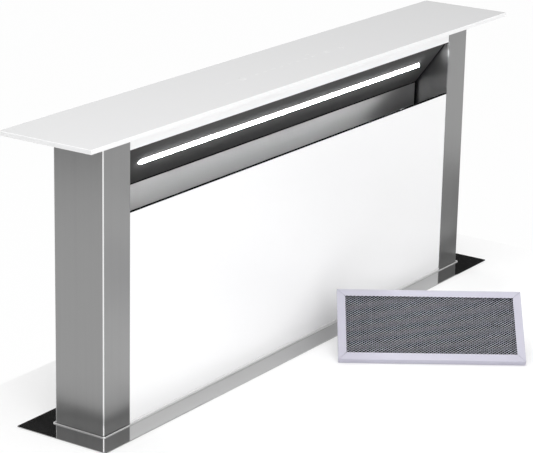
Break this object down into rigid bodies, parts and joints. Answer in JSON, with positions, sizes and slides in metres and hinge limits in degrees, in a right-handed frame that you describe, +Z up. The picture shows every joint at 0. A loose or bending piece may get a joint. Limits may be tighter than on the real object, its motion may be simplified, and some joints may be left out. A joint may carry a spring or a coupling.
{
  "type": "downdraft vent",
  "caption": "Downdraft kitchen vent: a motor lifts a slim glass and steel intake tower from the worktop; filters, blower and duct outlet below.",
  "frame": {"origin": "centre of the worktop cut-out, on the worktop's top surface where the plate's sealing tape rests", "axes": "+X along the width to the right, +Y to the back, away from the cook, +Z up"},
  "size_m": [0.88, 0.3601, 1.0315],
  "materials": {
    "white_glass": "white back-painted glass, polished",
    "white_paint": "white enamel, satin",
    "brushed_steel": "brushed stainless steel",
    "intake_steel": "finely brushed stainless steel",
    "polished_steel": "polished stainless steel",
    "hidden_steel": "plain sheet steel",
    "zinc_sheet": "zinc-coated sheet steel",
    "bright_steel": "bright machined steel",
    "filter_paint": "pale lavender enamel",
    "filter_mesh": "expanded aluminium over a dark pad",
    "wire": "bright wire",
    "black_rubber": "black rubber",
    "light_lens": "opal lens over white light diodes",
    "led_channel": "extruded aluminium",
    "board_green": "circuit board",
    "nylon": "natural nylon",
    "dark_plastic": "moulded black plastic",
    "motor_metal": "cast aluminium and steel",
    "magnet": "nickelled magnets on steel brackets",
    "duct_steel": "galvanised steel",
    "box_grey": "light grey moulded plastic"
  },
  "bodies": {
    "casing": {"worktop_plate": "polished_steel", "sealing_tape": "black_rubber", "wiper_seal": "black_rubber", "casing_shell": "zinc_sheet", "casing_front": "zinc_sheet", "casing_bottom": "zinc_sheet", "casing_screws": "bright_steel", "guide_rails": "bright_steel", "lift_racks": "bright_steel", "worktop_clamps": "zinc_sheet", "floor_feet": "zinc_sheet", "blower_housing": "dark_plastic", "blower_cover": "dark_plastic", "blower_inlet": "duct_steel", "fan_motor": "motor_metal", "outlet_adapter": "dark_plastic", "duct_outlet": "duct_steel", "flap_pins": "bright_steel", "control_box": "box_grey", "control_box_lid": "box_grey", "control_board": "board_green"},
    "tower": {"glass_top": "white_glass", "top_carrier": "hidden_steel", "touch_board": "board_green", "fascia_strip": "white_paint", "canopy": "intake_steel", "led_profile": "led_channel", "led_board": "board_green", "led_diffuser": "light_lens", "cheek_left": "intake_steel", "cheek_right": "intake_steel", "column_left": "brushed_steel", "column_right": "brushed_steel", "rear_panel": "brushed_steel", "filter_wall": "intake_steel", "grease_tray": "hidden_steel", "front_skirt": "brushed_steel", "carriage": "hidden_steel", "guide_shoes": "nylon", "lift_motor": "motor_metal", "shaft_bearings": "nylon", "panel_magnets": "magnet"},
    "front_panel": {"front_glass": "white_glass", "front_glass_backing": "hidden_steel"},
    "cross_shaft": {"lift_shaft": "bright_steel"},
    "filter_left": {"filter_frame_left": "filter_paint", "filter_mesh_left": "filter_mesh"},
    "handle_left": {"filter_handle_left": "wire"},
    "filter_middle": {"filter_frame_middle": "filter_paint", "filter_mesh_middle": "filter_mesh"},
    "handle_middle": {"filter_handle_middle": "wire"},
    "filter_right": {"filter_frame_right": "filter_paint", "filter_mesh_right": "filter_mesh"},
    "handle_right": {"filter_handle_right": "wire"},
    "loose_filter": {"loose_filter_frame": "filter_paint", "loose_filter_mesh": "filter_mesh"},
    "loose_handle": {"loose_filter_handle": "wire"},
    "fan": {"fan_wheel": "dark_plastic"},
    "front_flap": {"flap_front": "nylon"},
    "rear_flap": {"flap_rear": "nylon"}
  },
  "joints": [
    {"name": "tower_lift", "type": "slide", "parent": "casing", "child": "tower", "axis": [0, 0, 1], "range_m": [-0.332, 0]},
    {"name": "shaft_turn", "type": "hinge", "parent": "tower", "child": "cross_shaft", "pos_m": [0, 0.02743, -0.101], "axis": [1, 0, 0], "range_deg": [0, 1409.2]},
    {"name": "panel_pull", "type": "slide", "parent": "tower", "child": "front_panel", "axis": [0, -1, 0], "range_m": [0, 0.012]},
    {"name": "filter_left_lift", "type": "slide", "parent": "tower", "child": "filter_left", "axis": [0, 0, 1], "range_m": [0, 0.006]},
    {"name": "handle_left_swing", "type": "hinge", "parent": "filter_left", "child": "handle_left", "pos_m": [-0.22535, 0.00235, 0.195], "axis": [-1, 0, 0], "range_deg": [0, 18]},
    {"name": "filter_middle_lift", "type": "slide", "parent": "tower", "child": "filter_middle", "axis": [0, 0, 1], "range_m": [0, 0.006]},
    {"name": "handle_middle_swing", "type": "hinge", "parent": "filter_middle", "child": "handle_middle", "pos_m": [0, 0.00235, 0.195], "axis": [-1, 0, 0], "range_deg": [0, 18]},
    {"name": "filter_right_lift", "type": "slide", "parent": "tower", "child": "filter_right", "axis": [0, 0, 1], "range_m": [0, 0.006]},
    {"name": "handle_right_swing", "type": "hinge", "parent": "filter_right", "child": "handle_right", "pos_m": [0.22535, 0.00235, 0.195], "axis": [-1, 0, 0], "range_deg": [0, 18]},
    {"name": "loose_filter_lift", "type": "slide", "parent": "casing", "child": "loose_filter", "axis": [0, 0, 1], "range_m": [0, 0.3]},
    {"name": "loose_handle_fold", "type": "hinge", "parent": "loose_filter", "child": "loose_handle", "pos_m": [0.0973, -0.15615, 0.05387], "axis": [0.5736, -0.8192, 0], "range_deg": [-88, 0]},
    {"name": "fan_spin", "type": "hinge", "parent": "casing", "child": "fan", "pos_m": [-0.06, -0.1, -0.52], "axis": [0, -1, 0], "continuous": true},
    {"name": "front_flap_swing", "type": "hinge", "parent": "casing", "child": "front_flap", "pos_m": [0.1558, -0.1411, -0.40306], "axis": [0, 0, 1], "range_deg": [0, 80], "stiffness_Nm_per_rad": 0.01},
    {"name": "rear_flap_swing", "type": "hinge", "parent": "casing", "child": "rear_flap", "pos_m": [0.1558, -0.1339, -0.40306], "axis": [0, 0, -1], "range_deg": [0, 80], "stiffness_Nm_per_rad": 0.01}
  ],
  "couplings": [
    {"joint": "shaft_turn", "follows": "tower_lift", "rad_per_m": -74.074}
  ]
}
